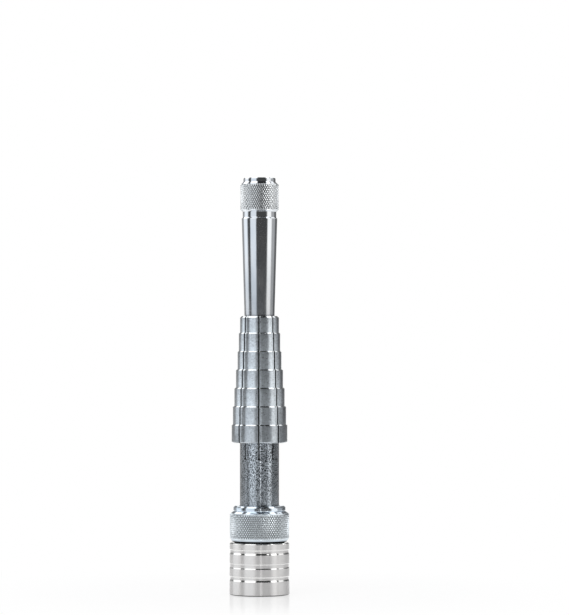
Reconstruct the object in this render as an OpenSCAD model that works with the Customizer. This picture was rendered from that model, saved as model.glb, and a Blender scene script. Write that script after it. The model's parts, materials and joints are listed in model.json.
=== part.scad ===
// Ring stretcher: a knurled, tapered mandrel driven down into a stepped sleeve
// whose eight jaws spring apart. The axis of the tool is Z and the foot stands on z = 0.

/* [Ring steps] */
// Diameter of the top step, the smallest ring seat
step_1_d = 15.8; // [14:0.1:18]
// How much wider the second step is than the first
step_2_rise = 1; // [0.6:0.1:2]
// How much wider the third step is than the second
step_3_rise = 1; // [0.6:0.1:2]
// How much wider the fourth step is than the third
step_4_rise = 1.3; // [0.6:0.1:2]
// How much wider the fifth step is than the fourth
step_5_rise = 1.3; // [0.6:0.1:2]
// How much wider the sixth step is than the fifth
step_6_rise = 1.2; // [0.6:0.1:2]
// How much wider the seventh and largest step is than the sixth
step_7_rise = 1; // [0.6:0.1:2]
// Height of the top step
top_step_h = 6.75; // [5:0.25:9]
// Height of each step below the top one
step_h = 7.42; // [6:0.02:9]
// Bevel on the upper edge of each step
step_bevel = 0.38; // [0.2:0.02:0.44]

/* [Sleeve] */
// Diameter of the shank below the steps
shank_d = 15.9; // [14.5:0.1:18]
// Wall of the jaws at the mouth of the sleeve, their gap to the mandrel included
mouth_wall = 1.8; // [1.4:0.05:2.2]
// Shank that shows between the collar and the lowest step
shank_show = 25.5; // [18:0.5:34]
// Depth of the slit roots below the lowest step
slit_below_steps = 6.4; // [4:0.2:10]
// Width of each slit at rest
slit_w = 0.55; // [0.4:0.05:0.8]
// Diameter of the relief hole at the root of each slit
relief_d = 0.9; // [0.8:0.1:1.4]
// Turn of the slits about the axis, seen from above
slit_turn = -1.5; // [-20:0.5:20]

/* [Mandrel] */
// Half angle of the long taper
taper_angle = 1.65; // [1.4:0.05:1.8]
// Taper that shows above the sleeve at rest
taper_show = 39.5; // [30:0.5:50]
// Taper that still shows when the mandrel is driven home
taper_left = 0.5; // [0.2:0.1:5]
// How far the neck under the head lies in from the shoulder
neck_depth = 0.41; // [0.2:0.01:1]
// Height of the neck, its bevel included
neck_h = 2.76; // [1.5:0.02:6]

/* [Striking head] */
// How far the knurl of the head stands out past the shoulder
head_overhang = 0.51; // [0.3:0.01:1]
// Height of the knurled band of the head
head_knurl_h = 10.75; // [8:0.05:16]
// Knurl teeth round the head
head_teeth = 57; // [40:1:64]
// Half rows of knurl up the head
head_rows = 13; // [9:1:19]
// Depth of the knurl on the head
head_knurl_depth = 0.3; // [0.2:0.02:0.36]
// How far the plain stub that the hammer strikes lies in from the knurl
stub_inset = 1.2; // [0.9:0.05:2.5]
// Height of the stub
stub_h = 1.6; // [1:0.05:3]

/* [Collar] */
// How far the knurl of the collar lies in from the rim of the base
collar_inset = 0.075; // [0:0.025:0.5]
// Height of the knurled band of the collar
collar_knurl_h = 10.45; // [8:0.05:14]
// Knurl teeth round the collar
collar_teeth = 93; // [70:1:96]
// Half rows of knurl up the collar
collar_rows = 13; // [9:1:15]
// Depth of the knurl on the collar
collar_knurl_depth = 0.26; // [0.16:0.02:0.32]
// How far the boss on top of the collar lies in from the knurl
boss_inset = 1.42; // [1:0.02:2]
// Height of the boss
boss_h = 2.1; // [1.4:0.1:3]

/* [Base] */
// Wall of the base round its threaded socket
base_wall = 4.2; // [3.4:0.1:8]
// Height of the base
base_h = 21.1; // [18:0.1:30]
// How much thinner the base is at its top
base_draft = 0.2; // [0:0.05:0.6]
// Thickness of the base under the threaded socket
base_floor = 7; // [5:0.5:9]
// Width of each grip groove, its sides included
groove_w = 2; // [1:0.1:2.6]
// Depth of each grip groove
groove_depth = 0.32; // [0.15:0.01:0.6]

/* [Hidden] */
jaw_count = 8;

// Round surfaces and the overrun of every cut
round_fn = 96;
overrun = 1;

// Clearances between the pieces
taper_gap = 0.03;
thread_gap = 0.05;
socket_end_gap = 0.3;
tip_floor_gap = 4;
knockout_gap = 0.57;

// Small features of the sleeve
mouth_bevel = 0.7;
mouth_lead = 0.25;
step_under_bevel = 0.42;
// The most of a ledge that its bevel may take
ledge_bevel_share = 0.8;
thread_end_bevel = 0.8;

// Small features of the mandrel
shoulder_bevel = 0.42;
tip_bevel = 0.9;
head_under_bevel = 0.5;
head_top_bevel = 0.85;
stub_round = 0.25;

// A knurl overhangs the plain metal at its ends by a hair
knurl_lip = 0.06;
knurl_end = 0.05;

// Small features of the collar
seat_inset = 1.78;
joint_gap = 0.35;
collar_round = 1.05;
collar_round_steps = 3;
collar_top_rise = 0.9;
boss_bevel = 0.6;
boss_neck_w = 0.3;
boss_neck_depth = 0.25;
bore_lead = 0.4;

// Small features of the base
base_top_bevel = 0.35;
base_foot_bevel = 0.3;
groove_upper_side = 0.35;
groove_lower_side = 0.65;
foot_recess_depth = 0.5;
foot_ring_w = 3;

// Lower edges of the grip grooves as shares of the base height, and their depths
groove_place_share = [0.782, 0.512, 0.27];
groove_depth_share = [1, 0.6, 1];

// Radii of the steps from the top down
step_rise = [step_2_rise, step_3_rise, step_4_rise, step_5_rise, step_6_rise, step_7_rise];
last_step = len(step_rise);
function radius_of_step(s) = s == 0 ? step_1_d / 2 : radius_of_step(s - 1) + step_rise[s - 1] / 2;
step_r = [for (s = [0:last_step]) radius_of_step(s)];

// Heights of the stacked pieces
collar_z = base_h + joint_gap;
collar_knurl_z = collar_z + collar_round;
collar_bevel_z = collar_knurl_z + collar_knurl_h;
boss_z = collar_bevel_z + collar_top_rise;
collar_top_z = boss_z + boss_h;
steps_z = collar_top_z + shank_show;
mouth_z = steps_z + last_step * step_h + top_step_h;
root_z = steps_z - slit_below_steps;
flex_h = mouth_z - root_z;
shoulder_z = mouth_z + taper_show;
head_z = shoulder_z + neck_h;
head_knurl_z = head_z + head_under_bevel;
head_bevel_z = head_knurl_z + head_knurl_h;
stub_z = head_bevel_z + head_top_bevel;
top_z = stub_z + stub_h;
mandrel_travel = taper_show - taper_left;
tip_z = mandrel_travel + tip_floor_gap;
sleeve_end_z = base_floor + socket_end_gap;

// The taper, and the bores that clear it
taper = tan(taper_angle);
function mandrel_r(z) = step_1_d / 2 - mouth_wall - (mouth_z - z) * taper;
// At full travel the jaws lie flat on the taper, where their edges have leant out by this
// share of what their middles have, and before that they touch it at the mouth
edge_lean_share = cos(180 / jaw_count);
function jaw_bore_r(z) =
    mandrel_r(z) + taper_gap
    + mandrel_travel * taper * (1 - edge_lean_share * (z - root_z) / flex_h);
sleeve_bore_r = jaw_bore_r(root_z);
shank_r = shank_d / 2;
thread_bore_r = shank_r + thread_gap;
knockout_r = mandrel_r(base_floor + mandrel_travel) + knockout_gap;

// Radii that follow the shoulder, the shank and each other
shoulder_r = mandrel_r(shoulder_z);
neck_r = shoulder_r - neck_depth;
head_r = shoulder_r + head_overhang;
stub_r = head_r - stub_inset;
foot_r = shank_r + base_wall;
function base_r(z) = foot_r - base_draft / 2 * z / base_h;
collar_r = base_r(base_h) - collar_inset;
boss_r = collar_r - boss_inset;
seat_r = collar_r - seat_inset;

// Angle by which each jaw leans out at full travel, and its share of the travel
flex_angle = atan(mandrel_travel * taper / flex_h);
echo(flex_angle_deg = flex_angle, flex_rad_per_mm = flex_angle * PI / 180 / mandrel_travel);
echo(root_z = root_z, mouth_z = mouth_z, shoulder_z = shoulder_z, top_z = top_z, tip_z = tip_z);
echo(sleeve_bore_r = sleeve_bore_r, knockout_r = knockout_r, steps_z = steps_z);
echo(collar_top_z = collar_top_z, mouth_bore_r = jaw_bore_r(mouth_z), head_z = head_z);
echo(step_d = 2 * step_r, foot_r = foot_r, mandrel_travel = mandrel_travel);

module mandrel() {
    core_r = head_r - head_knurl_depth - knurl_lip;
    color("silver") union() {
        rotate_extrude($fn = round_fn) polygon([
            [0, tip_z],
            [mandrel_r(tip_z) - tip_bevel / 2, tip_z],
            [mandrel_r(tip_z + tip_bevel), tip_z + tip_bevel],
            [shoulder_r, shoulder_z],
            [neck_r, shoulder_z + shoulder_bevel],
            [neck_r, head_z],
            [core_r - head_under_bevel, head_z],
            [core_r, head_knurl_z - knurl_end],
            [core_r, head_bevel_z + knurl_end],
            [stub_r, stub_z],
            [stub_r, top_z - stub_round],
            [stub_r - stub_round, top_z],
            [0, top_z]
        ]);
        translate([0, 0, head_knurl_z])
            knurl(head_r, head_knurl_depth, head_knurl_h, head_teeth, head_rows);
    }
}

module jaw(k) {
    middle = slit_turn + (k - 1 / 2) * 360 / jaw_count;
    color("lightsteelblue") difference() {
        intersection() {
            rotate_extrude($fn = round_fn) polygon(jaw_outline());
            rotate(middle) jaw_sector();
        }
        relief_holes();
    }
}

module sleeve_shank() {
    color("slategray") difference() {
        rotate_extrude($fn = round_fn) polygon([
            [sleeve_bore_r, sleeve_end_z],
            [shank_r - thread_end_bevel, sleeve_end_z],
            [shank_r, sleeve_end_z + thread_end_bevel],
            [shank_r, root_z],
            [sleeve_bore_r, root_z]
        ]);
        relief_holes();
    }
}

module knurled_collar() {
    core_r = collar_r - collar_knurl_depth - knurl_lip;
    color("lightslategray") difference() {
        union() {
            rotate_extrude($fn = round_fn) polygon(concat(
                [[thread_bore_r, base_h], [seat_r, base_h], [seat_r, collar_z]],
                lower_round(core_r, collar_z, collar_round - knurl_end),
                [
                    [core_r, collar_bevel_z + knurl_end],
                    [boss_r, boss_z],
                    [boss_r - boss_neck_depth, boss_z],
                    [boss_r - boss_neck_depth, boss_z + boss_neck_w],
                    [boss_r, boss_z + boss_neck_w],
                    [boss_r, collar_top_z - boss_bevel],
                    [boss_r - boss_bevel, collar_top_z],
                    [thread_bore_r + bore_lead, collar_top_z],
                    [thread_bore_r, collar_top_z - bore_lead]
                ]
            ));
            translate([0, 0, collar_knurl_z])
                knurl(collar_r, collar_knurl_depth, collar_knurl_h, collar_teeth, collar_rows);
        }
        translate([0, 0, base_h - overrun])
            cylinder(h = collar_top_z - base_h, r = thread_bore_r, $fn = round_fn);
    }
}

module base() {
    recess_r = foot_r - foot_ring_w;
    color("gainsboro") rotate_extrude($fn = round_fn) polygon(concat(
        [[knockout_r, foot_recess_depth], [recess_r, foot_recess_depth], [recess_r, 0]],
        [[foot_r - base_foot_bevel, 0], [base_r(base_foot_bevel), base_foot_bevel]],
        [for (g = [len(groove_place_share) - 1:-1:0]) each groove(g)],
        [[base_r(base_h), base_h - base_top_bevel], [base_r(base_h) - base_top_bevel, base_h]],
        [[thread_bore_r, base_h], [thread_bore_r, base_floor], [knockout_r, base_floor]]
    ));
}

// Outline of a jaw from its root up the outside and down the bore
function jaw_outline() = concat(
    [[sleeve_bore_r, root_z], [shank_r, root_z], [shank_r, steps_z]],
    [[step_r[last_step] - step_under_bevel, steps_z]],
    [[step_r[last_step], steps_z + step_under_bevel]],
    [for (s = [last_step:-1:1]) each step_edge(s)],
    [[step_r[0], mouth_z - mouth_bevel], [step_r[0] - mouth_bevel, mouth_z]],
    [[jaw_bore_r(mouth_z) + mouth_lead, mouth_z]],
    [[jaw_bore_r(mouth_z - mouth_lead), mouth_z - mouth_lead]]
);

// Upper edge of step s, its bevel and the ledge in to the next step
function step_edge(s) =
    let (
        top = steps_z + (last_step - s + 1) * step_h,
        bevel = min(step_bevel, (step_r[s] - step_r[s - 1]) * ledge_bevel_share)
    )
    [
        [step_r[s], top - bevel],
        [step_r[s] - bevel, top],
        [step_r[s - 1], top]
    ];

// One grip groove with bevelled sides, from its lower edge up
function groove(g) =
    let (
        z = groove_place_share[g] * base_h,
        deep = groove_depth * groove_depth_share[g],
        lower = groove_lower_side * groove_depth_share[g],
        upper = groove_upper_side * groove_depth_share[g]
    )
    [
        [base_r(z), z],
        [base_r(z) - deep, z + lower],
        [base_r(z) - deep, z + groove_w - upper],
        [base_r(z + groove_w), z + groove_w]
    ];

// Quarter round from the underside of a disc out to its rim
function lower_round(r, z, size) = [
    for (k = [0:collar_round_steps])
        let (a = 90 * k / collar_round_steps)
        [r - size + size * sin(a), z + size - size * cos(a)]
];

// The space of one jaw between the walls of two slits, seen from above
module jaw_sector() {
    half = 180 / jaw_count;
    apex = slit_w / 2 / sin(half);
    reach = 2 * step_r[last_step];
    translate([0, 0, root_z - overrun]) linear_extrude(flex_h + 2 * overrun) polygon([
        [apex, 0],
        [apex + reach * cos(half), -reach * sin(half)],
        [apex + reach * cos(half), reach * sin(half)]
    ]);
}

// Cutters for the relief holes at the slit roots
module relief_holes() {
    for (k = [0:jaw_count - 1])
        translate([0, 0, root_z]) rotate([0, 0, slit_turn + k * 360 / jaw_count])
            rotate([0, 90, 0]) cylinder(h = shank_r + overrun, d = relief_d, $fn = round_fn);
}

// Diamond knurl: crests and roots alternate round and up the band, and its ends lie at root level
module knurl(r, depth, h, teeth, rows) {
    columns = 2 * teeth;
    crest = function (i, j) (i + j) % 2 == 0;
    points = [
        for (j = [0:rows]) for (i = [0:columns - 1])
            let (
                flat = j == 0 || j == rows || !crest(i, j),
                rho = flat ? r - depth : r,
                a = i * 360 / columns
            )
            [rho * cos(a), rho * sin(a), j * h / rows]
    ];
    sides = [
        for (j = [0:rows - 1]) for (i = [0:columns - 1])
            let (
                a = j * columns + i,
                b = j * columns + (i + 1) % columns,
                c = b + columns,
                d = a + columns
            )
            each crest(i, j) ? [[a, d, b], [b, d, c]] : [[a, d, c], [a, c, b]]
    ];
    floor_face = [for (i = [0:columns - 1]) i];
    roof_face = [for (i = [columns - 1:-1:0]) rows * columns + i];
    polyhedron(points, concat(sides, [floor_face, roof_face]), convexity = 4);
}

mandrel();
for (k = [1:jaw_count]) jaw(k);
sleeve_shank();
knurled_collar();
base();
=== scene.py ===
"""Looks of the ring stretcher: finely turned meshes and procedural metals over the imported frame."""
import json
import math

import bmesh
import bpy
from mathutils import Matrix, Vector

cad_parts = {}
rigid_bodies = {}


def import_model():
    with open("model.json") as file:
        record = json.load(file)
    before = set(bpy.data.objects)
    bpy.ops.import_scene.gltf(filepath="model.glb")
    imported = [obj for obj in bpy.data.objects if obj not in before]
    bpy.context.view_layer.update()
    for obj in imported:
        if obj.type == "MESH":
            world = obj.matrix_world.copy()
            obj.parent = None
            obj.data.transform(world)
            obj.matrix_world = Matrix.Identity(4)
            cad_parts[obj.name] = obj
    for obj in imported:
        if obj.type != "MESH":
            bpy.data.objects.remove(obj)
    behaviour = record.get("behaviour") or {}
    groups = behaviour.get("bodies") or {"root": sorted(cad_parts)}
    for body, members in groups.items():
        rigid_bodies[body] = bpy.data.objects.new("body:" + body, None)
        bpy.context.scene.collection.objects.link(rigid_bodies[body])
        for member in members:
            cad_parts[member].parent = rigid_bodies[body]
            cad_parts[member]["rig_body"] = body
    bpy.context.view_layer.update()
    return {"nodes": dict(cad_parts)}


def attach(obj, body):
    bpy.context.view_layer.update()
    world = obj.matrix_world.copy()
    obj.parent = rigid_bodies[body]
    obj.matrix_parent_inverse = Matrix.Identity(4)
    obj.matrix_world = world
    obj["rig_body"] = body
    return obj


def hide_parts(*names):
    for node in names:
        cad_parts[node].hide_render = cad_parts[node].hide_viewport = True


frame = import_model()

# Lengths are metres, and levels of light are linear. Places nearer to each other than SAME are one place
MM = 0.001
SAME = 0.005 * MM

# Slits and relief holes of the sleeve, and the small chamfer along each slit
SLIT_WIDTH = 0.55 * MM
RELIEF_RADIUS = 0.45 * MM
SLIT_EDGE = 0.1 * MM
SLIT_EDGE_DROP = 0.05 * MM
JAW_COUNT = 8
FIRST_SLIT = math.radians(-1.5)
# Painted shade: how far the black painted on a slit's walls reaches past its edge, and the radius inside
# which the bore is painted black
SLIT_SHADE = 0.05 * MM
BORE_SHADE = 6.9 * MM

# Small rounds that a turned edge keeps, and the strips beside them that keep the walls' shading straight
EDGE_ROUND = 0.08 * MM
ROUND_STEPS = 4
STRIP_SHARE = 0.35
# Corners that bend less than this belong to one large round
WIDE_ROUND_BEND = math.radians(38)
WIDE_ROUND_SHARE = 0.42
SHARP_BEND = math.radians(28)

# Columns of vertices round a plain turned piece, and across a jaw and a relief hole, and the rows
# of a jaw's slit wall beside its relief holes
ROUND_COLUMNS = 288
JAW_COLUMNS = 28
HOLE_COLUMNS = 12
HOLE_ROWS = 5
# Columns of vertices to each tooth along the ends of a knurl. A diamond rises steeply out of its
# grooves to its tip, which has these shares of its width and its height and is flat in its middle. The
# wider grooves are the collar's
TOOTH_COLUMNS = 4
HEAD_TIP_WIDE = 0.74
COLLAR_TIP_WIDE = 0.66
TIP_HIGH = 0.15
TIP_FLAT = 0.4
# Lead of the collar's bore at its top
BORE_LEAD = 0.4 * MM
# The outside of the base lies past this share of its largest radius
BASE_SKIN_SHARE = 0.9


def heights(node):
    """Each height of a CAD node's vertices, from the bottom up, with the radii found there."""
    found = {}
    for v in frame["nodes"][node].data.vertices:
        found.setdefault(round(v.co.z, 6), []).append(math.hypot(v.co.x, v.co.y))
    levels = []
    for z in sorted(found):
        radii = []
        for r in sorted(found[z]):
            if not radii or r - radii[-1] > SAME:
                radii.append(r)
        levels.append((z, radii))
    return levels


def corners(points):
    """The points without those that lie on the straight line between their neighbours."""
    kept = points[:1]
    for here, after in zip(points[1:], points[2:]):
        line = after - kept[-1]
        step = here - kept[-1]
        if abs(line.x * step.y - line.y * step.x) > SAME / 2 * line.length:
            kept.append(here)
    return kept + points[-1:]


def outline(levels, keep):
    """The turned outline, as (radius, height) points, through the radii that pass keep."""
    points = []
    for z, radii in levels:
        ring = [r for r in radii if keep(r)]
        if points and ring and abs(ring[-1] - points[-1].x) < abs(ring[0] - points[-1].x):
            ring.reverse()
        points += [Vector((r, z)) for r in ring]
    return corners(points)


def rounded(points, sharp):
    """The closed outline with each corner turned into an arc, apart from those that sharp names."""
    out = []
    for i, here in enumerate(points):
        before = points[i - 1] - here
        after = points[(i + 1) % len(points)] - here
        bend = math.pi - before.angle(after)
        if here.x < SAME or sharp(here):
            out.append(here)
            continue
        if bend < WIDE_ROUND_BEND:
            reach = WIDE_ROUND_SHARE * min(before.length, after.length)
        else:
            reach = min(EDGE_ROUND, WIDE_ROUND_SHARE * before.length / (1 + STRIP_SHARE),
                        WIDE_ROUND_SHARE * after.length / (1 + STRIP_SHARE))
            out.append(here + before.normalized() * reach * (1 + STRIP_SHARE))
        start = here + before.normalized() * reach
        end = here + after.normalized() * reach
        for k in range(ROUND_STEPS + 1):
            t = k / ROUND_STEPS
            out.append((1 - t) ** 2 * start + 2 * t * (1 - t) * here + t ** 2 * end)
        if bend >= WIDE_ROUND_BEND:
            out.append(here + after.normalized() * reach * (1 + STRIP_SHARE))
    return out


def skin(bm, rings, closed, looped=True):
    """Faces from each ring of vertices to the next, and where it is looped from the last to the
    first, split along their valleys where they aren't flat. Closed rings go all the way round."""
    for ring, after in zip(rings, rings[1:] + rings[:1] if looped else rings[1:]):
        for j in range(len(ring) if closed else len(ring) - 1):
            k = (j + 1) % len(ring)
            loop = list(dict.fromkeys([ring[j], ring[k], after[k], after[j]]))
            if len(loop) < 3:
                continue
            if len(loop) < 4:
                bm.faces.new(loop)
                continue
            reach = [math.hypot(v.co.x, v.co.y) for v in loop]
            bulge = reach[0] + reach[2] - reach[1] - reach[3]
            if abs(bulge) < SAME / 10:
                bm.faces.new(loop)
            else:
                first = 0 if bulge < 0 else 1
                a, b, c, d = loop[first:] + loop[:first]
                bm.faces.new([a, b, c])
                bm.faces.new([a, c, d])


def ring_at(bm, radius, height, angles):
    """A ring of vertices at that radius and height, or a single vertex where it is on the axis."""
    if radius < SAME:
        return [bm.verts.new((0, 0, height))] * len(angles)
    return [bm.verts.new((radius * math.cos(a), radius * math.sin(a), height)) for a in angles]


def finished(name, bm, node, material):
    """Makes the mesh the shown piece for a CAD node, smooth on its rounds and sharp at its creases."""
    bmesh.ops.recalc_face_normals(bm, faces=bm.faces)
    mesh = bpy.data.meshes.new(name)
    bm.to_mesh(mesh)
    bm.free()
    mesh.shade_smooth()
    mesh.set_sharp_from_angle(angle=SHARP_BEND)
    mesh.materials.append(material)
    piece = bpy.data.objects.new(name, mesh)
    bpy.context.scene.collection.objects.link(piece)
    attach(piece, frame["nodes"][node]["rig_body"])
    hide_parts(node)
    return piece


class Knurl:
    """The diamond knurl of a CAD node: its band, its depth and its teeth, read from the frame."""

    def __init__(self, node):
        self.levels = heights(node)
        self.crest = max(radii[-1] for _, radii in self.levels)
        rows = [(z, radii) for z, radii in self.levels if self.crest - radii[-1] < SAME]
        self.pitch = rows[1][0] - rows[0][0]
        self.low = rows[0][0] - self.pitch
        self.high = rows[-1][0] + self.pitch
        self.root = rows[0][1][-2]
        self.brow = self.crest - TIP_HIGH * (self.crest - self.root)
        self.half_rows = len(rows) + 1
        tips = sorted(
            math.atan2(v.co.y, v.co.x)
            for v in frame["nodes"][node].data.vertices
            if abs(v.co.z - rows[0][0]) < SAME and self.crest - math.hypot(v.co.x, v.co.y) < SAME
        )
        same_tip = SAME / self.crest
        self.teeth = round(math.tau / min(b - a for a, b in zip(tips, tips[1:]) if b - a > same_tip))
        self.first_tip = tips[0]

    def ends(self, point):
        """Whether an outline's point is at one of the two ends of the band."""
        return min(abs(point.y - self.low), abs(point.y - self.high)) < SAME

    def plain_levels(self):
        """The levels of the node outside the band."""
        return [(z, radii) for z, radii in self.levels if z < self.low + SAME or z > self.high - SAME]

    def point(self, bm, radius, across, up):
        """A vertex at that place on the band, counted in half teeth across and half rows up."""
        a = self.first_tip + (across - 1) * math.pi / self.teeth
        return bm.verts.new((radius * math.cos(a), radius * math.sin(a), self.low + up * self.pitch))

    def diamonds(self, bm, low_ring, high_ring, tip_wide):
        """The band's diamonds between the rings at its two ends, each a blunt tip between grooves."""
        turn = 2 * self.teeth
        half = TOOTH_COLUMNS // 2
        ends = {0: low_ring, self.half_rows: high_ring}
        corner = {}
        for i in range(turn):
            for j in range(self.half_rows + 1):
                if (i + j) % 2:
                    corner[i, j] = ends[j][(i - 1) * half] if j in ends else self.point(bm, self.root, i, j)
        for i in range(turn):
            for j in range(1, self.half_rows):
                if (i + j) % 2:
                    continue
                left, right = (i - 1) % turn, (i + 1) % turn
                base = [corner[right, j], corner[i, j + 1], corner[left, j], corner[i, j - 1]]
                for radius, wide in ((self.brow, tip_wide), (self.crest, TIP_FLAT)):
                    top = [self.point(bm, radius, i + wide * x, j + wide * y)
                           for x, y in ((1, 0), (0, 1), (-1, 0), (0, -1))]
                    for k in range(4):
                        bm.faces.new([base[k - 1], base[k], top[k], top[k - 1]])
                    base = top
                bm.faces.new(base)
        for row, near in ((0, 1), (self.half_rows, self.half_rows - 1)):
            for i in range(row % 2, turn, 2):
                edge = [ends[row][((i - 2) * half + k) % (turn * half)] for k in range(TOOTH_COLUMNS + 1)]
                bm.faces.new(edge + [corner[i, near]])

    def turned(self, profile, tip_wide):
        """A bmesh turned from the profile, with the knurl in its band."""
        bm = bmesh.new()
        columns = self.teeth * TOOTH_COLUMNS
        angles = [self.first_tip + math.tau * k / columns for k in range(columns)]
        rings = [ring_at(bm, p.x, p.y, angles) for p in profile]
        band = next(i for i, (here, after) in enumerate(zip(profile, profile[1:]))
                    if self.ends(here) and self.ends(after) and abs(here.x - after.x) < SAME)
        skin(bm, rings[:band + 1], closed=True, looped=False)
        skin(bm, rings[band + 1:] + rings[:1], closed=True, looped=False)
        self.diamonds(bm, rings[band], rings[band + 1], tip_wide)
        return bm


def make_mandrel(material):
    """The tapered mandrel with its shoulder, neck, knurled head and stub."""
    knurl = Knurl("mandrel")
    side = outline(knurl.plain_levels(), lambda r: True)
    profile = [Vector((0, side[0].y))] + side + [Vector((0, side[-1].y))]
    bm = knurl.turned(rounded(profile, knurl.ends), HEAD_TIP_WIDE)
    return finished("mandrel_turned", bm, "mandrel", material)


def make_collar(material):
    """The knurled collar with its seat, rounded rim, top bevel and boss."""
    knurl = Knurl("knurled_collar")
    levels = knurl.plain_levels()
    bore_r = levels[0][1][0]
    bore = outline(levels, lambda r: r < bore_r + BORE_LEAD + SAME)
    side = outline(levels, lambda r: r > bore_r + BORE_LEAD + SAME)
    bm = knurl.turned(rounded(side + bore[::-1], knurl.ends), COLLAR_TIP_WIDE)
    return finished("collar_turned", bm, "knurled_collar", material)


def make_base(material):
    """The turned base with its grip grooves, its socket and its bore."""
    levels = heights("base")
    skin_r = BASE_SKIN_SHARE * max(radii[-1] for _, radii in levels)
    side = outline(levels, lambda r: r > skin_r)
    bore = outline(levels, lambda r: r < skin_r)
    bm = bmesh.new()
    angles = [math.tau * k / ROUND_COLUMNS for k in range(ROUND_COLUMNS)]
    profile = rounded(side + bore[::-1], lambda p: False)
    skin(bm, [ring_at(bm, p.x, p.y, angles) for p in profile], closed=True)
    return finished("base_turned", bm, "base", material)


def make_shank(material):
    """The tube below the jaws, whose top edge dips round the relief holes."""
    levels = heights("sleeve_shank")
    root_z = levels[-1][0]
    bore_r, skin_r = levels[-1][1]
    plain = [(z, radii) for z, radii in levels if z < root_z - RELIEF_RADIUS - SAME]
    side = outline(plain, lambda r: r > (bore_r + skin_r) / 2) + [Vector((skin_r, root_z))]
    bore = [Vector((bore_r, root_z)), Vector((bore_r, levels[0][0]))]
    bm = bmesh.new()
    rings = []
    for p in side + bore:
        ring = []
        for slit in range(JAW_COUNT):
            middle = FIRST_SLIT + math.tau * slit / JAW_COUNT
            for k in range(HOLE_COLUMNS + 1):
                across = -RELIEF_RADIUS * math.cos(math.pi * k / HOLE_COLUMNS)
                dip = math.sqrt(max(0, RELIEF_RADIUS ** 2 - across ** 2)) if p.y == root_z else 0
                a = middle + math.asin(across / p.x)
                ring.append(bm.verts.new((p.x * math.cos(a), p.x * math.sin(a), p.y - dip)))
            margin = math.asin(RELIEF_RADIUS / p.x)
            wide = math.tau / JAW_COUNT - 2 * margin
            for k in range(1, JAW_COLUMNS):
                a = middle + margin + wide * k / JAW_COLUMNS
                ring.append(bm.verts.new((p.x * math.cos(a), p.x * math.sin(a), p.y)))
        rings.append(ring)
    skin(bm, rings, closed=True)
    return finished("sleeve_shank_turned", bm, "sleeve_shank", material)


def make_jaw(number, material):
    """One jaw: an eighth of the stepped sleeve between two slits, over half of a relief hole each."""
    node = f"jaw_{number}"
    levels = heights(node)
    root_z, mouth_z = levels[0][0], levels[-1][0]
    bore_r, skin_r = levels[0][1]
    mouth_skin_r = levels[-1][1][1]
    bore_slope = (levels[-1][1][0] - bore_r) / (mouth_z - root_z)
    bore = [Vector((bore_r, root_z))]
    side = [Vector((skin_r, root_z))]
    for z, radii in levels:
        if z > root_z + RELIEF_RADIUS + SAME:
            inner = [r for r in radii if r < mouth_skin_r - SAME]
            outer = [r for r in radii if r > mouth_skin_r - SAME]
            if outer and abs(outer[-1] - side[-1].x) < abs(outer[0] - side[-1].x):
                outer.reverse()
            bore += [Vector((r, z)) for r in inner]
            side += [Vector((r, z)) for r in outer]
    bore = corners(bore)
    side = corners(side)
    # Rows between the root and the place where the hole has closed in to the slit
    hole_top = math.sqrt(RELIEF_RADIUS ** 2 - (SLIT_WIDTH / 2) ** 2)
    turn = math.asin(hole_top / RELIEF_RADIUS)
    rows = [RELIEF_RADIUS * math.sin(turn * k / HOLE_ROWS) for k in range(HOLE_ROWS + 1)]

    def near_root(point):
        return point.y < root_z + SAME

    profile = rounded(side + bore[::-1], near_root)
    first = profile.index(side[0])
    profile = profile[first:] + profile[:first]
    last = len(profile) - 1
    below = [Vector((skin_r, root_z + rise)) for rise in rows]
    above = [Vector((bore_r + bore_slope * rise, root_z + rise)) for rise in reversed(rows)]
    profile = below + profile[1:last] + above
    middle = FIRST_SLIT + math.tau * (number - 0.5) / JAW_COUNT
    bm = bmesh.new()
    rings = [jaw_ring(bm, p, middle, root_z, p.x > mouth_skin_r - SAME) for p in profile]
    skin(bm, rings, closed=False)
    for end in (0, -1):
        wall = [ring[end] for ring in rings]
        for k in range(HOLE_ROWS):
            bm.faces.new([wall[k], wall[k + 1], wall[-k - 2], wall[-k - 1]])
        bm.faces.new(wall[HOLE_ROWS:len(wall) - HOLE_ROWS])
    return finished(f"{node}_turned", bm, node, material)


def jaw_ring(bm, point, middle, root_z, outside):
    """A row of vertices across a jaw at a point of its outline, chamfered along the slits outside."""
    rise = point.y - root_z
    gap = max(SLIT_WIDTH / 2, math.sqrt(max(0, RELIEF_RADIUS ** 2 - rise ** 2)))
    half = math.pi / JAW_COUNT
    drop = SLIT_EDGE_DROP if outside else 0
    wall = half - math.asin(gap / point.x)
    edge = half - math.asin((gap + SLIT_EDGE) / point.x)
    places = [(point.x - drop, -wall)]
    places += [(point.x, edge * (2 * k / JAW_COLUMNS - 1)) for k in range(JAW_COLUMNS + 1)]
    places += [(point.x - drop, wall)]
    return [bm.verts.new((r * math.cos(middle + a), r * math.sin(middle + a), point.y)) for r, a in places]


# Noise is mostly between the first two of these, and goes from one colour to another between the others
NOISE_RANGE = 0.3, 0.7
CLOUD_RANGE = 0.35, 0.65
# How rough the band of a knurl is, on its tips and in its grooves, and how metallic
TIP_ROUGHNESS = 0.29
GROOVE_ROUGHNESS = 0.5
BAND_METALLIC = 0.95
# The knurl's grooves are painted dark as shade, and made rougher, over this depth below the diamonds' brow,
# and between these shares of the pitch from the ends of the band
GROOVE_SHADE_DEPTH = 0.04 * MM
GROOVE_SHADE_ENDS = 0.4, 0.8


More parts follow.
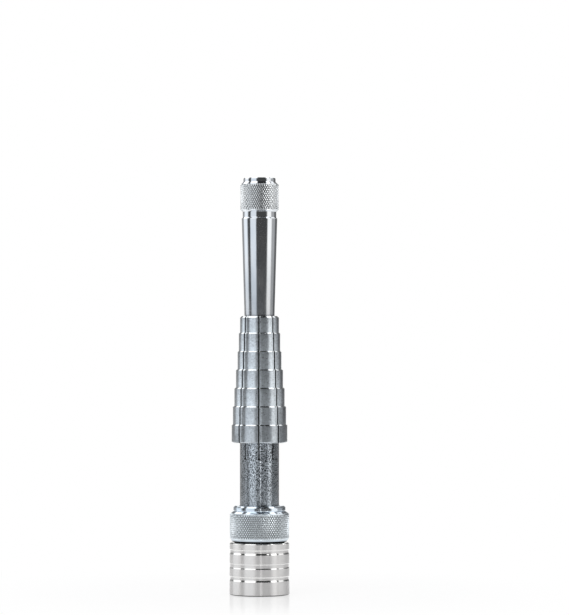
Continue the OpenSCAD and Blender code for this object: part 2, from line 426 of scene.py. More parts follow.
class Nodes:
    """A node tree in the making, with short calls for the nodes that the finishes share."""

    def __init__(self, owner):
        owner.use_nodes = True
        self.tree = owner.node_tree
        self.tree.nodes.clear()

    def add(self, kind, inputs, **settings):
        """A node of that kind, whose inputs are set to values or linked to sockets."""
        node = self.tree.nodes.new(kind)
        for name, value in settings.items():
            setattr(node, name, value)
        for name, value in inputs.items():
            if isinstance(value, bpy.types.NodeSocket):
                self.tree.links.new(value, node.inputs[name])
            else:
                node.inputs[name].default_value = value
        return node

    def place(self):
        """Position on the object, in metres."""
        return self.add("ShaderNodeTexCoord", {}).outputs["Object"]

    def scaled(self, vector, x, y, z):
        """The vector, scaled by its own factor along each axis."""
        return self.add("ShaderNodeVectorMath", {0: vector, 1: (x, y, z)}, operation="MULTIPLY").outputs[0]

    def radius(self, place):
        """Distance from the tool's axis."""
        flat = self.scaled(place, 1, 1, 0)
        return self.add("ShaderNodeVectorMath", {0: flat}, operation="LENGTH").outputs["Value"]

    def height(self, place):
        """Height above the foot of the tool."""
        return self.add("ShaderNodeSeparateXYZ", {0: place}).outputs["Z"]

    def math(self, operation, one, other=0.0):
        """The result of a math operation."""
        return self.add("ShaderNodeMath", {0: one, 1: other}, operation=operation).outputs[0]

    def noise(self, vector, size, detail=2.0, roughness=0.5):
        """Noise whose blobs are about that size, from 0 to 1."""
        inputs = {"Vector": vector, "Scale": 1 / size, "Detail": detail, "Roughness": roughness}
        return self.add("ShaderNodeTexNoise", inputs).outputs["Fac"]

    def span(self, value, low, high, start=0.0, end=1.0, smooth=False):
        """The value's place between low and high, as a number from start to end."""
        inputs = {"Value": value, "From Min": low, "From Max": high, "To Min": start, "To Max": end}
        kind = "SMOOTHSTEP" if smooth else "LINEAR"
        return self.add("ShaderNodeMapRange", inputs, interpolation_type=kind, clamp=True).outputs["Result"]

    def spread(self, noise, start, end):
        """Noise as a number from start to end."""
        return self.span(noise, *NOISE_RANGE, start, end)

    def mix(self, share, one, other):
        """A mix of two colours."""
        node = self.add("ShaderNodeMix", {0: share, 6: one, 7: other}, data_type="RGBA")
        return node.outputs[2]

    def clouded(self, noise, pair):
        """A cloudy mix of a pair of colours."""
        return self.mix(self.span(noise, *CLOUD_RANGE), *pair)

    def mix_value(self, share, one, other):
        """A mix of two numbers."""
        return self.add("ShaderNodeMix", {0: share, 2: one, 3: other}).outputs[0]

    def bump(self, height, depth, before=None):
        """The surface raised by height times depth, over an earlier bump."""
        inputs = {"Height": height, "Distance": depth}
        if before:
            inputs["Normal"] = before
        return self.add("ShaderNodeBump", inputs).outputs["Normal"]

    def upward(self):
        """How far the surface faces up, from -1 to 1."""
        normal = self.add("ShaderNodeTexCoord", {}).outputs["Normal"]
        return self.add("ShaderNodeSeparateXYZ", {0: normal}).outputs["Z"]

    def grooves(self, place, knurl):
        """Whether the place lies in the grooves of a knurl (1) or not (0), where shade is painted."""
        z = self.height(place)
        start, whole = [share * knurl.pitch for share in GROOVE_SHADE_ENDS]
        depth = self.span(self.radius(place), knurl.brow, knurl.brow - GROOVE_SHADE_DEPTH)
        up = self.span(z, knurl.low + start, knurl.low + whole)
        down = self.span(z, knurl.high - start, knurl.high - whole)
        return self.math("MULTIPLY", depth, self.math("MULTIPLY", up, down))

    def in_band(self, place, knurl):
        """Whether the place lies in the band of a knurl (1) or not (0)."""
        z = self.height(place)
        above = self.math("GREATER_THAN", z, knurl.low)
        return self.math("MULTIPLY", above, self.math("LESS_THAN", z, knurl.high))

    def slits(self, place, radius, z):
        """Whether the place is on the walls of a slit, a relief hole or the bore (1) or not (0), where
        shade is painted black.
        """
        parts = self.add("ShaderNodeSeparateXYZ", {0: place}).outputs
        turn = self.math("SUBTRACT", self.math("ARCTAN2", parts["Y"], parts["X"]), FIRST_SLIT)
        turn = self.math("DIVIDE", turn, math.tau / JAW_COUNT)
        aside = self.math("SUBTRACT", turn, self.math("ROUND", turn))
        aside = self.math("SINE", self.math("MULTIPLY", aside, math.tau / JAW_COUNT))
        aside = self.math("ABSOLUTE", self.math("MULTIPLY", aside, radius))
        base_z = heights("jaw_1")[0][0]
        spot = self.add("ShaderNodeCombineXYZ", {0: aside, 1: self.math("SUBTRACT", z, base_z)}).outputs[0]
        away = self.add("ShaderNodeVectorMath", {0: spot}, operation="LENGTH").outputs["Value"]
        hole = self.math("LESS_THAN", away, RELIEF_RADIUS + SLIT_SHADE)
        gap = self.math("LESS_THAN", aside, SLIT_WIDTH / 2 + SLIT_SHADE)
        gap = self.math("MULTIPLY", gap, self.math("GREATER_THAN", z, base_z))
        bore = self.math("LESS_THAN", radius, BORE_SHADE)
        return self.math("MAXIMUM", self.math("MAXIMUM", hole, gap), bore)

    def turned(self):
        """Settings for a turned surface: a quarter turn, so that it spreads its reflections upright."""
        tangent = self.add("ShaderNodeTangent", {}, direction_type="RADIAL", axis="Z").outputs[0]
        return {"Tangent": tangent, "Anisotropic_Rotation": 0.25}

    def metal(self, colour, roughness, normal, **more):
        """A metal's shader, and its material output."""
        inputs = {"Base Color": colour, "Metallic": 1.0, "Roughness": roughness, "Normal": normal}
        inputs.update({name.replace("_", " "): value for name, value in more.items()})
        shader = self.add("ShaderNodeBsdfPrincipled", inputs)
        self.add("ShaderNodeOutputMaterial", {"Surface": shader.outputs[0]})

    def knurled(self, band, shaded_grooves, colour, roughness, normal, **more):
        """The shader of a metal whose knurl has a roughness and a metallic share of its own."""
        dull = self.mix_value(shaded_grooves, TIP_ROUGHNESS, GROOVE_ROUGHNESS)
        roughness = self.mix_value(band, roughness, dull)
        metallic = self.mix_value(band, 1.0, BAND_METALLIC)
        self.metal(colour, roughness, normal, Metallic=metallic, **more)

    def glow(self, light, level):
        """A shader that only gives light, and its material output."""
        shader = self.add("ShaderNodeEmission", {"Color": light, "Strength": level})
        self.add("ShaderNodeOutputMaterial", {"Surface": shader.outputs[0]})

    def seen(self):
        """Whether a ray shows the room (1) or gathers light from it (0)."""
        path = self.add("ShaderNodeLightPath", {}).outputs
        shown = self.math("MAXIMUM", path["Is Camera Ray"], path["Is Glossy Ray"])
        return self.math("MAXIMUM", shown, path["Is Transmission Ray"])


def rgb(red, green, blue):
    """A colour with full opacity."""
    return (red, green, blue, 1.0)


def ledges():
    """The height of the lowest step's underside and of each ledge, from the bottom up."""
    levels = heights("jaw_1")
    mouth_skin_r = levels[-1][1][1]
    return [z for z, radii in levels if len(radii) > 1 and radii[0] > mouth_skin_r + SAME]


# How the noise of the marks that turning leaves is drawn out round the tool
TURNING_MARKS = 0.15, 0.15, 1

# Colours of the mandrel's plating, the cloudy ones as pairs, the heights between which it goes from fresh
# to worn, from plain to the painted shade below the sleeve's mouth and from bright to satin, and its
# roughness before and after the last
PLATE_FRESH = rgb(0.83, 0.87, 0.92), rgb(0.90, 0.92, 0.95)
PLATE_WORN = rgb(0.55, 0.58, 0.62), rgb(0.66, 0.68, 0.71)
PLATE_INSIDE_SHADE = rgb(0.16, 0.17, 0.18)
PLATE_TIPS = rgb(0.94, 0.975, 1.0)
# Painted shade: the plating in the knurl's grooves is painted this dark
PLATE_GROOVE_SHADE = rgb(0.02, 0.022, 0.024)
PLATE_WEAR = 140 * MM, 114 * MM
PLATE_INSIDE_SHADE_HEIGHTS = 113.6 * MM, 112.4 * MM
PLATE_SATIN = 150 * MM, 112 * MM
PLATE_ROUGHNESS = 0.07, 0.2
PLATE_CLOUD_ROUGHNESS = 0.04
# Sizes of the plating's clouds, turning marks and scuffs, how the clouds and scuffs are drawn out along
# the tool, and depths of the marks and the scuffs
PLATE_CLOUD, CLOUD_LENGTH = 4 * MM, (1, 1, 0.4)
PLATE_RING, RING_DEPTH = 0.12 * MM, 0.0008 * MM
SCUFF, SCUFF_LENGTH, SCUFF_DEPTH = 0.4 * MM, (1, 1, 0.12), 0.006 * MM


def plating():
    """Hard bright plating, duller down the taper, with painted shade below the sleeve's mouth and in the
    knurl's grooves.
    """
    material = bpy.data.materials.new("plated_steel")
    g = Nodes(material)
    place = g.place()
    z = g.height(place)
    knurl = Knurl("mandrel")
    band = g.in_band(place, knurl)
    shaded_grooves = g.grooves(place, knurl)
    cloud = g.noise(g.scaled(place, *CLOUD_LENGTH), PLATE_CLOUD, 4)
    bright = g.mix(g.span(z, *PLATE_WEAR), g.clouded(cloud, PLATE_FRESH), g.clouded(cloud, PLATE_WORN))
    # Painted shade: below the sleeve's mouth, where it shows through the slits, the mandrel is painted dark
    colour = g.mix(g.span(z, *PLATE_INSIDE_SHADE_HEIGHTS, smooth=True), bright, PLATE_INSIDE_SHADE)
    colour = g.mix(band, colour, PLATE_TIPS)
    # Painted shade: the knurl's grooves are painted nearly black
    colour = g.mix(shaded_grooves, colour, PLATE_GROOVE_SHADE)
    roughness = g.span(z, *PLATE_SATIN, *PLATE_ROUGHNESS)
    roughness = g.math("ADD", roughness, g.spread(cloud, 0, PLATE_CLOUD_ROUGHNESS))
    rings = g.noise(g.scaled(place, *TURNING_MARKS), PLATE_RING, 3)
    scuffs = g.noise(g.scaled(place, *SCUFF_LENGTH), SCUFF, 3, 0.6)
    normal = g.bump(scuffs, SCUFF_DEPTH, g.bump(rings, RING_DEPTH))
    g.knurled(band, shaded_grooves, colour, roughness, normal, Anisotropic=0.5, **g.turned())
    return material


# Colours of the sleeve: its steps before their painted shade and their mottle, their bevels, the pits and
# the skin of the shank, and the painted shade in the slits
STEP_TINT = (0.54, 0.59, 0.635)
BEVEL_TINT = rgb(0.86, 0.90, 0.93)
SHANK_PITS, SHANK_SKIN = rgb(0.03, 0.037, 0.045), rgb(0.68, 0.75, 0.82)
SLIT_SHADE_TINT = rgb(0.04, 0.042, 0.045)
# Painted shade: a step is painted lighter at its foot than under its ledge, and the two lowest steps are
# painted darker towards their foot
STEP_SHADE = 0.86, 1.24
LOW_STEPS_SHADE = 0.76, 1.0
# How much the clouds, the mottle and the speckle lighten and darken the steps
CLOUD_TONE, MOTTLE_TONE, SPECKLE_TONE = 0.12, 0.2, 0.1
# How far the steps' bevels face up where they begin and where they are whole
STEP_BEVEL = 0.25, 0.4
# The shank is what lies below the steps and inside these radii
SHANK_EDGE = 0.1 * MM
SHANK_RADII = 8.1 * MM, 8.0 * MM
# Its skin's share of the surface, and how far the speckle takes that up and down between two places of
# its noise. The speckle is fainter at the lower one of two heights than at the other
SKIN_SHARE = 0.42, 0.54
SPOT_RANGE, SPOT_SHARE = (0.4, 0.6), 0.6
SPECKLE_HEIGHTS, SPECKLE_FADE = (37 * MM, 52 * MM), (0.5, 1.0)
# Sizes of the sleeve's clouds, mottle, speckle and orange peel, and depths of the peel and the pits
SLEEVE_CLOUD, MOTTLE, SPECKLE = 3.2 * MM, 0.85 * MM, 0.43 * MM
PEEL, PEEL_DEPTH = 0.55 * MM, 0.004 * MM
PIT_DEPTH = 0.02 * MM
# Roughness of the sleeve's parts, of which the bevels' is the base's too
STEP_ROUGHNESS = 0.27, 0.31
BEVEL_ROUGHNESS = 0.12
SHANK_ROUGHNESS = 0.3
SLIT_ROUGHNESS = 0.6


def step_colour(g, z, feet, cloud, mottle, speckle):
    """The satin of the steps, with painted shade from ledge to foot, and mottled."""
    rise = g.math("FRACT", g.math("DIVIDE", g.math("SUBTRACT", z, feet[0]), feet[1] - feet[0]))
    tone = g.spread(cloud, -CLOUD_TONE, CLOUD_TONE)
    tone = g.math("ADD", tone, g.spread(mottle, -MOTTLE_TONE, MOTTLE_TONE))
    tone = g.math("ADD", tone, g.span(speckle, *CLOUD_RANGE, -SPECKLE_TONE, SPECKLE_TONE))
    # Painted shade from ledge to foot, darker still on the two lowest steps
    shade = g.math("ADD", g.span(rise, 1.0, 0.0, *STEP_SHADE), tone)
    shade = g.math("MULTIPLY", shade, g.span(z, feet[0], feet[2], *LOW_STEPS_SHADE))
    return g.add("ShaderNodeVectorMath", {0: STEP_TINT, 3: shade}, operation="SCALE").outputs[0]


def sleeve_finish():
    """Satin mottled steel with painted shade and polished bevels on the steps, speckled on the shank,
    painted black as shade in the slits, the relief holes and the bore.
    """
    material = bpy.data.materials.new("sleeve_steel")
    g = Nodes(material)
    place = g.place()
    z = g.height(place)
    radius = g.radius(place)
    feet = ledges()
    bevel = g.span(g.upward(), *STEP_BEVEL)
    cloud = g.noise(place, SLEEVE_CLOUD, 4, 0.6)
    mottle = g.noise(place, MOTTLE, 3, 0.6)
    speckle = g.noise(place, SPECKLE, 2)
    fade = g.span(z, *SPECKLE_HEIGHTS, *SPECKLE_FADE)
    shank = g.math("MULTIPLY", g.span(z, feet[0], feet[0] - SHANK_EDGE), g.span(radius, *SHANK_RADII))
    # Mask of the painted shade in the slits, the relief holes and the bore
    slit = g.slits(place, radius, z)

    steps = g.mix(bevel, step_colour(g, z, feet, cloud, mottle, speckle), BEVEL_TINT)
    spots = g.math("MULTIPLY", g.span(speckle, *SPOT_RANGE, -SPOT_SHARE, SPOT_SHARE), fade)
    skin_share = g.math("ADD", g.spread(cloud, *SKIN_SHARE), spots)
    colour = g.mix(shank, steps, g.mix(skin_share, SHANK_PITS, SHANK_SKIN))
    # Painted shade: the slits, the relief holes and the bore are painted black
    colour = g.mix(slit, colour, SLIT_SHADE_TINT)
    roughness = g.mix_value(bevel, g.spread(mottle, *STEP_ROUGHNESS), BEVEL_ROUGHNESS)
    roughness = g.mix_value(shank, roughness, SHANK_ROUGHNESS)
    roughness = g.mix_value(slit, roughness, SLIT_ROUGHNESS)
    pits = g.math("MULTIPLY", g.math("MULTIPLY", speckle, shank), fade)
    normal = g.bump(pits, PIT_DEPTH, g.bump(g.noise(place, PEEL), PEEL_DEPTH))
    g.metal(colour, roughness, normal, Anisotropic=0.9, Coat_Weight=1.0, Coat_Roughness=0.06, **g.turned())
    return material


# Colours of the collar's zinc plating
ZINC_PLAIN = rgb(0.75, 0.84, 0.93), rgb(0.84, 0.91, 0.98)
ZINC_RIM = rgb(0.54, 0.60, 0.66)
ZINC_TIPS = rgb(0.88, 0.95, 1.0)
# Painted shade: the knurl's grooves and the seat under the collar are painted this dark
ZINC_PAINTED_SHADE = rgb(0.02, 0.023, 0.026)
# The rim is darker below these heights, and the seat is painted black below and inside these, as the shadow
# in its gap over the base
RIM_HEIGHTS = 23 * MM, 22.2 * MM
SEAT_SHADOW_HEIGHTS = 21.65 * MM, 21.55 * MM
SEAT_SHADOW_RADII = 11.4 * MM, 11.2 * MM
# Size of the zinc's clouds, its roughness, and size and depth of its turning marks
ZINC_CLOUD = 3 * MM
ZINC_ROUGHNESS = 0.08, 0.14
ZINC_RING, ZINC_RING_DEPTH = 0.14 * MM, 0.0012 * MM


def zinc():
    """Bluish zinc plating, bright on the bevels and the boss, with painted shade in the knurl's grooves and
    a painted shadow in its seat.
    """
    material = bpy.data.materials.new("zinc_plated_steel")
    g = Nodes(material)
    place = g.place()
    z = g.height(place)
    knurl = Knurl("knurled_collar")
    band = g.in_band(place, knurl)
    shaded_grooves = g.grooves(place, knurl)
    # Painted shadow: mask of the seat, where the collar sits over the base
    seat = g.math("MULTIPLY", g.span(z, *SEAT_SHADOW_HEIGHTS), g.span(g.radius(place), *SEAT_SHADOW_RADII))
    cloud = g.noise(place, ZINC_CLOUD, 4, 0.6)
    bright = g.mix(g.span(z, *RIM_HEIGHTS), g.clouded(cloud, ZINC_PLAIN), ZINC_RIM)
    colour = g.mix(band, bright, ZINC_TIPS)
    # Painted shade in the knurl's grooves and painted shadow in the seat
    colour = g.mix(g.math("MAXIMUM", shaded_grooves, seat), colour, ZINC_PAINTED_SHADE)
    rings = g.noise(g.scaled(place, *TURNING_MARKS), ZINC_RING, 3)
    normal = g.bump(rings, ZINC_RING_DEPTH)
    g.knurled(band, shaded_grooves, colour, g.spread(cloud, *ZINC_ROUGHNESS), normal)
    return material


# Colours of the base's aluminium, of its tool marks and of its bevels
ALUMINIUM_PLAIN = rgb(0.68, 0.675, 0.67), rgb(0.735, 0.725, 0.72)
ALUMINIUM_LINES = rgb(0.60, 0.60, 0.593)
ALUMINIUM_BEVELS = rgb(0.88, 0.88, 0.87)
# Painted shadow: the foot's edge is painted dark below these heights as its contact shadow on the floor,
# and the face under the collar is painted dark above these as the collar's shade
FOOT_SHADOW, FOOT_SHADOW_HEIGHTS = rgb(0.07, 0.07, 0.07), (0.45 * MM, 0.3 * MM)
UNDER_COLLAR_SHADE, UNDER_COLLAR_SHADE_HEIGHTS = rgb(0.05, 0.05, 0.05), (17 * MM, 19 * MM)
# The marks lie between these two places of the noise and take this share of the colour at most
LINE_RANGE, LINE_SHARE = (0.45, 0.75), (0, 0.35)
# How far the bevels of the grooves face up or down where they begin and where they are whole
GROOVE_BEVEL = 0.15, 0.3
# Sizes of the clouds, drawn out upright, and of the tool marks, drawn out round the base; their depth
BASE_CLOUD, BASE_CLOUD_LENGTH = 5 * MM, (1, 1, 0.5)
TOOL_MARK, TOOL_MARK_LENGTH, TOOL_MARK_DEPTH = 0.16 * MM, (0.06, 0.06, 1), 0.003 * MM
# Roughness of the aluminium, and how metallic it is, off its bevels
ALUMINIUM_ROUGHNESS = 0.31, 0.35
ALUMINIUM_METALLIC = 0.68


def aluminium():
    """Bare aluminium, turned with a fine feed that spreads its reflections upright, with a painted contact
    shadow on the foot's edge and painted shade on the face under the collar.
    """
    material = bpy.data.materials.new("turned_aluminium")
    g = Nodes(material)
    place = g.place()
    z = g.height(place)
    bevel = g.span(g.math("ABSOLUTE", g.upward()), *GROOVE_BEVEL)
    cloud = g.noise(g.scaled(place, *BASE_CLOUD_LENGTH), BASE_CLOUD, 3)
    lines = g.noise(g.scaled(place, *TOOL_MARK_LENGTH), TOOL_MARK, 4, 0.6)
    marks = g.span(lines, *LINE_RANGE, *LINE_SHARE)
    colour = g.mix(marks, g.clouded(cloud, ALUMINIUM_PLAIN), ALUMINIUM_LINES)
    colour = g.mix(bevel, colour, ALUMINIUM_BEVELS)
    # Painted contact shadow on the foot's edge
    colour = g.mix(g.span(z, *FOOT_SHADOW_HEIGHTS), colour, FOOT_SHADOW)
    # Painted shade on the face under the collar
    under = g.span(g.math("MULTIPLY", g.upward(), z), *UNDER_COLLAR_SHADE_HEIGHTS)
    colour = g.mix(under, colour, UNDER_COLLAR_SHADE)
    roughness = g.mix_value(bevel, g.spread(cloud, *ALUMINIUM_ROUGHNESS), BEVEL_ROUGHNESS)
    metallic = g.mix_value(bevel, ALUMINIUM_METALLIC, 1.0)
    normal = g.bump(lines, TOOL_MARK_DEPTH)
    g.metal(colour, roughness, normal, Anisotropic=1.0, Metallic=metallic, **g.turned())
    return material


# Camera: straight before the tool, at about the height of the shank, with a long lens
CAMERA_DISTANCE = 1.2
CAMERA_HEIGHT = 0.1
# Focal length in pixels of the photo, whose long side is its height
FOCAL_PIXELS = 2959
PHOTO_WIDTH, PHOTO_HEIGHT = 569, 615
SENSOR = 36
# The photo's column in which the tool's axis stands, and the height on the axis that is at its middle row
AXIS_PIXEL = 259.5
MIDDLE_Z = 116.2 * MM


def make_camera():
    """The camera, turned and tilted so that the tool stands where it does in the photo."""
    data = bpy.data.cameras.new("camera")
    data.sensor_width = SENSOR
    data.lens = FOCAL_PIXELS / PHOTO_HEIGHT * SENSOR
    camera = bpy.data.objects.new("camera", data)
    bpy.context.scene.collection.objects.link(camera)
    camera.location = (0, -CAMERA_DISTANCE, CAMERA_HEIGHT)
    aside = (PHOTO_WIDTH / 2 - AXIS_PIXEL) / FOCAL_PIXELS * CAMERA_DISTANCE
    aim = Vector((aside, 0, MIDDLE_Z))
    camera.rotation_euler = (aim - camera.location).to_track_quat("-Z", "Y").to_euler()
    bpy.context.scene.camera = camera


# The studio: upright cards round the tool, from its left edge (-1) to its right edge (+1) as the
# metal shows them, each with its two sides, its level of light and its tint
NEUTRAL = (1.0, 1.0, 1.0)
SKY = (0.89, 0.945, 1.0)
PALE_SKY = (0.93, 0.965, 1.0)
WARM = (1.0, 0.985, 0.96)
WALL_CARDS = [
    ("left rim card", -1.00, -0.90, 0.33, NEUTRAL),
    ("left softbox", -0.86, -0.72, 1.00, PALE_SKY),
    ("left flag", -0.645, -0.545, 0.065, NEUTRAL),
    ("window", -0.50, -0.22, 0.86, SKY),
    ("dark room", -0.17, 0.42, 0.06, NEUTRAL),
    ("right softbox", 0.485, 0.665, 1.06, WARM),
    ("right wall", 0.71, 0.85, 0.40, NEUTRAL),
    ("right flag", 0.89, 0.96, 0.12, NEUTRAL),
    ("right rim card", 0.98, 1.00, 0.26, NEUTRAL),
]
# The cards overhead, which only bevels and ledges show
ROOF_CARDS = [
    ("left roof rim", -1.00, -0.90, 0.15, NEUTRAL),
    ("left roof panel", -0.86, -0.65, 1.50, NEUTRAL),
    ("left roof flag", -0.61, -0.52, 0.10, NEUTRAL),
    ("middle roof panel", -0.47, -0.15, 1.50, NEUTRAL),
    ("roof over the dark room", -0.11, 0.37, 0.03, NEUTRAL),
    ("right roof panel", 0.41, 0.57, 1.60, NEUTRAL),
    ("right roof flag", 0.60, 0.63, 0.15, NEUTRAL),
    ("outer roof panel", 0.67, 0.80, 1.10, NEUTRAL),
    ("right roof rim", 0.83, 1.00, 0.15, NEUTRAL),
]
# The roof cards begin and are whole at these sines of the elevation, and so does the pale table below
ROOF_START, ROOF_WHOLE = 0.12, 0.35
TABLE_START, TABLE_WHOLE = -0.14, -0.32
TABLE_LEVEL = 0.9
# The tent is white close round its rearmost point, which the floor shows: the cosines of the turn away
# from that point where the white begins and where it is whole
BACK_START, BACK_WHOLE = math.cos(math.radians(14)), math.cos(math.radians(10))
TENT_RADIUS = 3.0
TENT_COLUMNS = 240
TENT_ROWS = 96
# The share of the way to the tent's two sides that its columns reach, so that none shrinks to a point
TENT_SPREAD = 0.998


def between(value, low, high):
    """The value's place between low and high, from 0 to 1."""
    return min(1, max(0, (value - low) / (high - low)))


def card_light(cards, t):
    """Light of a row of cards at the place t from left to right."""
    sides = [(t0, level, tint) for _, t0, _, level, tint in cards]
    sides += [(t1, level, tint) for _, _, t1, level, tint in cards]
    sides.sort(key=lambda side: side[0])
    for (t0, level0, tint0), (t1, level1, tint1) in zip(sides, sides[1:]):
        if t <= t1:
            break
    share = between(t, t0, t1)
    return Vector([(1 - share) * level0 * a + share * level1 * b for a, b in zip(tint0, tint1)])


def studio(t, lift, back):
    """Colour of the studio at the place t from left to right, at that sine of the elevation and that
    cosine of the turn away from the rearmost point."""
    roof = between(lift, ROOF_START, ROOF_WHOLE)
    light = card_light(WALL_CARDS, t).lerp(card_light(ROOF_CARDS, t), roof)
    light = light.lerp(TABLE_LEVEL * Vector(NEUTRAL), between(lift, TABLE_START, TABLE_WHOLE))
    return (*light.lerp(Vector(NEUTRAL), between(back, BACK_START, BACK_WHOLE)), 1.0)


def only_reflected(name, mesh):
    """A piece of the studio that only reflections show, linked to the scene."""
    piece = bpy.data.objects.new(name, mesh)
    piece.visible_camera = False
    piece.visible_shadow = False
    piece.visible_diffuse = False
    piece.visible_transmission = False
    bpy.context.scene.collection.objects.link(piece)
    return piece


def make_tent():
    """The sphere that carries the cards, unseen by the camera: each upright strip of it is a circle
    through its rearmost point, so that the strips look alike on walls and on bevels."""
    bm = bmesh.new()
    layer = bm.verts.layers.float_color.new("light")
    rings = []
    for i in range(TENT_COLUMNS + 1):
        t = math.sin(math.pi * (i / TENT_COLUMNS - 0.5) * TENT_SPREAD)
        across = math.asin(t)
        reach = TENT_RADIUS * math.cos(across)
        ring = []
        for j in range(TENT_ROWS):
            turn = math.tau * (j + 0.5) / TENT_ROWS
            out = reach * (1 + math.cos(turn))
            z = reach * math.sin(turn)
            v = bm.verts.new((out * math.sin(across), TENT_RADIUS - out * math.cos(across), z))
            v[layer] = studio(t, z / TENT_RADIUS, v.co.y / TENT_RADIUS)
            ring.append(v)
        rings.append(ring)
    for ring, after in zip(rings, rings[1:]):
        for j in range(TENT_ROWS):
            k = (j + 1) % TENT_ROWS
            bm.faces.new([ring[j], ring[k], after[k], after[j]])
    mesh = bpy.data.meshes.new("studio_tent")
    bm.to_mesh(mesh)
    bm.free()
    material = bpy.data.materials.new("studio_light")
    g = Nodes(material)
    g.glow(g.add("ShaderNodeAttribute", {}, attribute_name="light").outputs["Color"], 1.0)
    material.cycles.emission_sampling = "NONE"
    mesh.materials.append(material)
    tent = only_reflected("studio_tent", mesh)
    tent.location = (0, 0, CAMERA_HEIGHT)


# Two narrow lit strips, whose light shows as a line up the base and up the shank: their distance before
# the tool's axis, how far aside they stand, their width, and the low end, the high end and level of each
STRIP_AWAY = 0.15
STRIP_ASIDE = 0.0145
STRIP_WIDE = 0.006
STRIPS = [("base_strip", 0.0, 0.0125, 10.0), ("shank_strip", 0.030, 0.058, 4.5)]
# Small cards close round the tool, grey ones for the sides of the shank and bright ones for the knurls.
# Each has its distance from the axis (less than 0 on the left), the bearings of its two sides in degrees
# from the front, its low end, its high end and its level
SIDE_CARDS = [
    ("shank_left", -0.035, 82, 127, 0.034, 0.064, 0.38),
    ("shank_right", 0.035, 67, 127, 0.034, 0.069, 0.24),
    ("head_left", -0.035, 90, 124, 0.158, 0.167, 2.2),
    ("head_right", 0.035, 104, 126, 0.158, 0.167, 2.4),
    ("head_lens", 0.035, 44, 50, 0.158, 0.167, 7),
    ("collar_left", -0.019, 72, 93, 0.0235, 0.031, 2.3),
    ("collar_right", 0.019, 88, 102, 0.0235, 0.031, 2.6),
    ("collar_lens", 0.022, 24, 32, 0.026, 0.032, 3.6),
]


def make_card(name, start, end, foot, top, level):
    """An upright lit card between two places on the floor plan, seen only in reflections."""
    mesh = bpy.data.meshes.new(name)
    mesh.from_pydata([(*start, foot), (*end, foot), (*end, top), (*start, top)], [], [(0, 1, 2, 3)])
    material = bpy.data.materials.new(name)
    Nodes(material).glow(rgb(1, 1, 1), level)
    mesh.materials.append(material)
    card = only_reflected(name, mesh)


def make_strip(name, foot, top, level):
    """One of the narrow strips before the tool."""
    sides = STRIP_ASIDE - STRIP_WIDE / 2, STRIP_ASIDE + STRIP_WIDE / 2
    make_card(name, *((x, -STRIP_AWAY) for x in sides), foot, top, level)


def make_side_card(name, away, start, end, foot, top, level):
    """One of the small cards beside the tool."""
    turns = math.radians(start), math.radians(end)
    make_card(name, *((away * math.sin(a), -abs(away) * math.cos(a)) for a in turns), foot, top, level)


# The floor gives light of its own: a little close to the tool, where the shadow shows, more outside that,
# and all of it past the last distance. Its gloss fades out, so that it mirrors little but the tool
FLOOR_RADIUS = 0.35
FLOOR_SIDES = 128
FLOOR_TONES = rgb(0.84, 0.84, 0.84), rgb(0.86, 0.86, 0.86)
FLOOR_BLOB = 30 * MM
FLOOR_GLOW, FLOOR_GLOW_OUTSIDE = 0.2, 0.8
FLOOR_NEAR = 12 * MM, 22 * MM
FLOOR_FAR = 25 * MM, 150 * MM
FLOOR_GLOSS = 0.45
FLOOR_GLOSS_FADE = 20 * MM, 110 * MM
FLOOR_GLOSS_ROUGHNESS = 0.1
FLOOR_IOR = 1.45


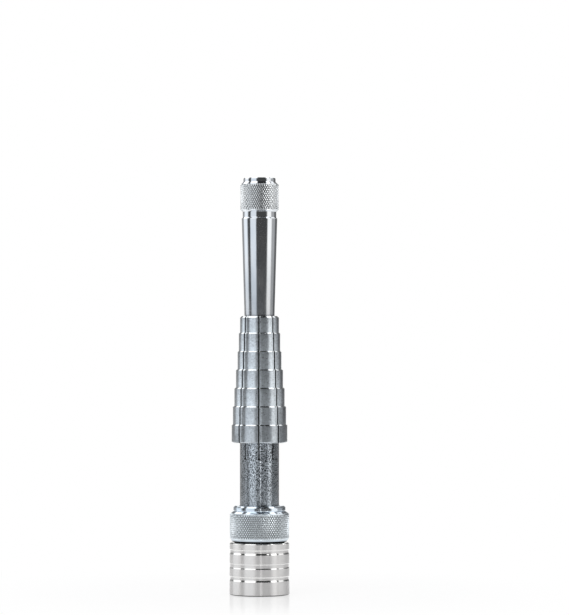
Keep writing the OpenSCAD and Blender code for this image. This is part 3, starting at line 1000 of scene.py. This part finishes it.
def make_floor():
    """A pale round floor that keeps the tool's shadow and melts into the white room at its rim."""
    bm = bmesh.new()
    bmesh.ops.create_circle(bm, cap_ends=True, segments=FLOOR_SIDES, radius=FLOOR_RADIUS)
    mesh = bpy.data.meshes.new("floor")
    bm.to_mesh(mesh)
    bm.free()
    material = bpy.data.materials.new("pale_floor")
    g = Nodes(material)
    place = g.place()
    tone = g.mix(g.noise(place, FLOOR_BLOB), *FLOOR_TONES)
    matt = g.add("ShaderNodeBsdfDiffuse", {"Color": tone})
    gloss = g.add("ShaderNodeBsdfGlossy", {"Color": rgb(1, 1, 1), "Roughness": FLOOR_GLOSS_ROUGHNESS})
    white = g.add("ShaderNodeEmission", {"Color": rgb(1, 1, 1), "Strength": 1.0})
    away = g.radius(place)
    near = g.span(away, *FLOOR_NEAR, FLOOR_GLOW, FLOOR_GLOW_OUTSIDE)
    far = g.span(away, *FLOOR_FAR, FLOOR_GLOW_OUTSIDE, 1.0, smooth=True)
    share = g.math("MULTIPLY", g.seen(), g.math("MAXIMUM", near, far))
    glancing = g.add("ShaderNodeFresnel", {"IOR": FLOOR_IOR}).outputs[0]
    shine = g.math("MULTIPLY", glancing, g.span(away, *FLOOR_GLOSS_FADE, FLOOR_GLOSS, 0, smooth=True))
    shown = g.add("ShaderNodeMixShader", {0: share, 1: matt.outputs[0], 2: white.outputs[0]})
    surface = g.add("ShaderNodeMixShader", {0: shine, 1: shown.outputs[0], 2: gloss.outputs[0]})
    g.add("ShaderNodeOutputMaterial", {"Surface": surface.outputs[0]})
    material.cycles.emission_sampling = "NONE"
    mesh.materials.append(material)
    floor = bpy.data.objects.new("floor", mesh)
    bpy.context.scene.collection.objects.link(floor)


# The room as light and as background
ROOM_LIGHT, ROOM_WHITE = rgb(0.95, 0.95, 0.96), rgb(1, 1, 1)


def make_world():
    """A white room at a plain level."""
    world = bpy.data.worlds.new("white_room")
    bpy.context.scene.world = world
    g = Nodes(world)
    soft = g.mix(g.seen(), ROOM_LIGHT, ROOM_WHITE)
    room = g.add("ShaderNodeBackground", {"Color": soft, "Strength": 1.0})
    g.add("ShaderNodeOutputWorld", {"Surface": room.outputs[0]})


# Width in metres, power in watts and place of the lamp
LAMP_SIZE = 0.6
LAMP_POWER = 2
LAMP_PLACE = Vector((-0.35, -0.5, 1.0))


def make_lamp():
    """A wide soft lamp above and before the tool, for its shadow on the floor."""
    data = bpy.data.lights.new("soft_lamp", "AREA")
    data.shape = "DISK"
    data.size = LAMP_SIZE
    data.energy = LAMP_POWER
    lamp = bpy.data.objects.new("soft_lamp", data)
    lamp.location = LAMP_PLACE
    lamp.rotation_euler = (-LAMP_PLACE).to_track_quat("-Z", "Y").to_euler()
    lamp.visible_glossy = False
    bpy.context.scene.collection.objects.link(lamp)


make_camera()
make_mandrel(plating())
sleeve = sleeve_finish()
for number in range(1, JAW_COUNT + 1):
    make_jaw(number, sleeve)
make_shank(sleeve)
make_collar(zinc())
make_base(aluminium())
make_floor()
make_tent()
for strip in STRIPS:
    make_strip(*strip)
for card in SIDE_CARDS:
    make_side_card(*card)
make_world()
make_lamp()
bpy.context.scene.view_settings.view_transform = "Standard"
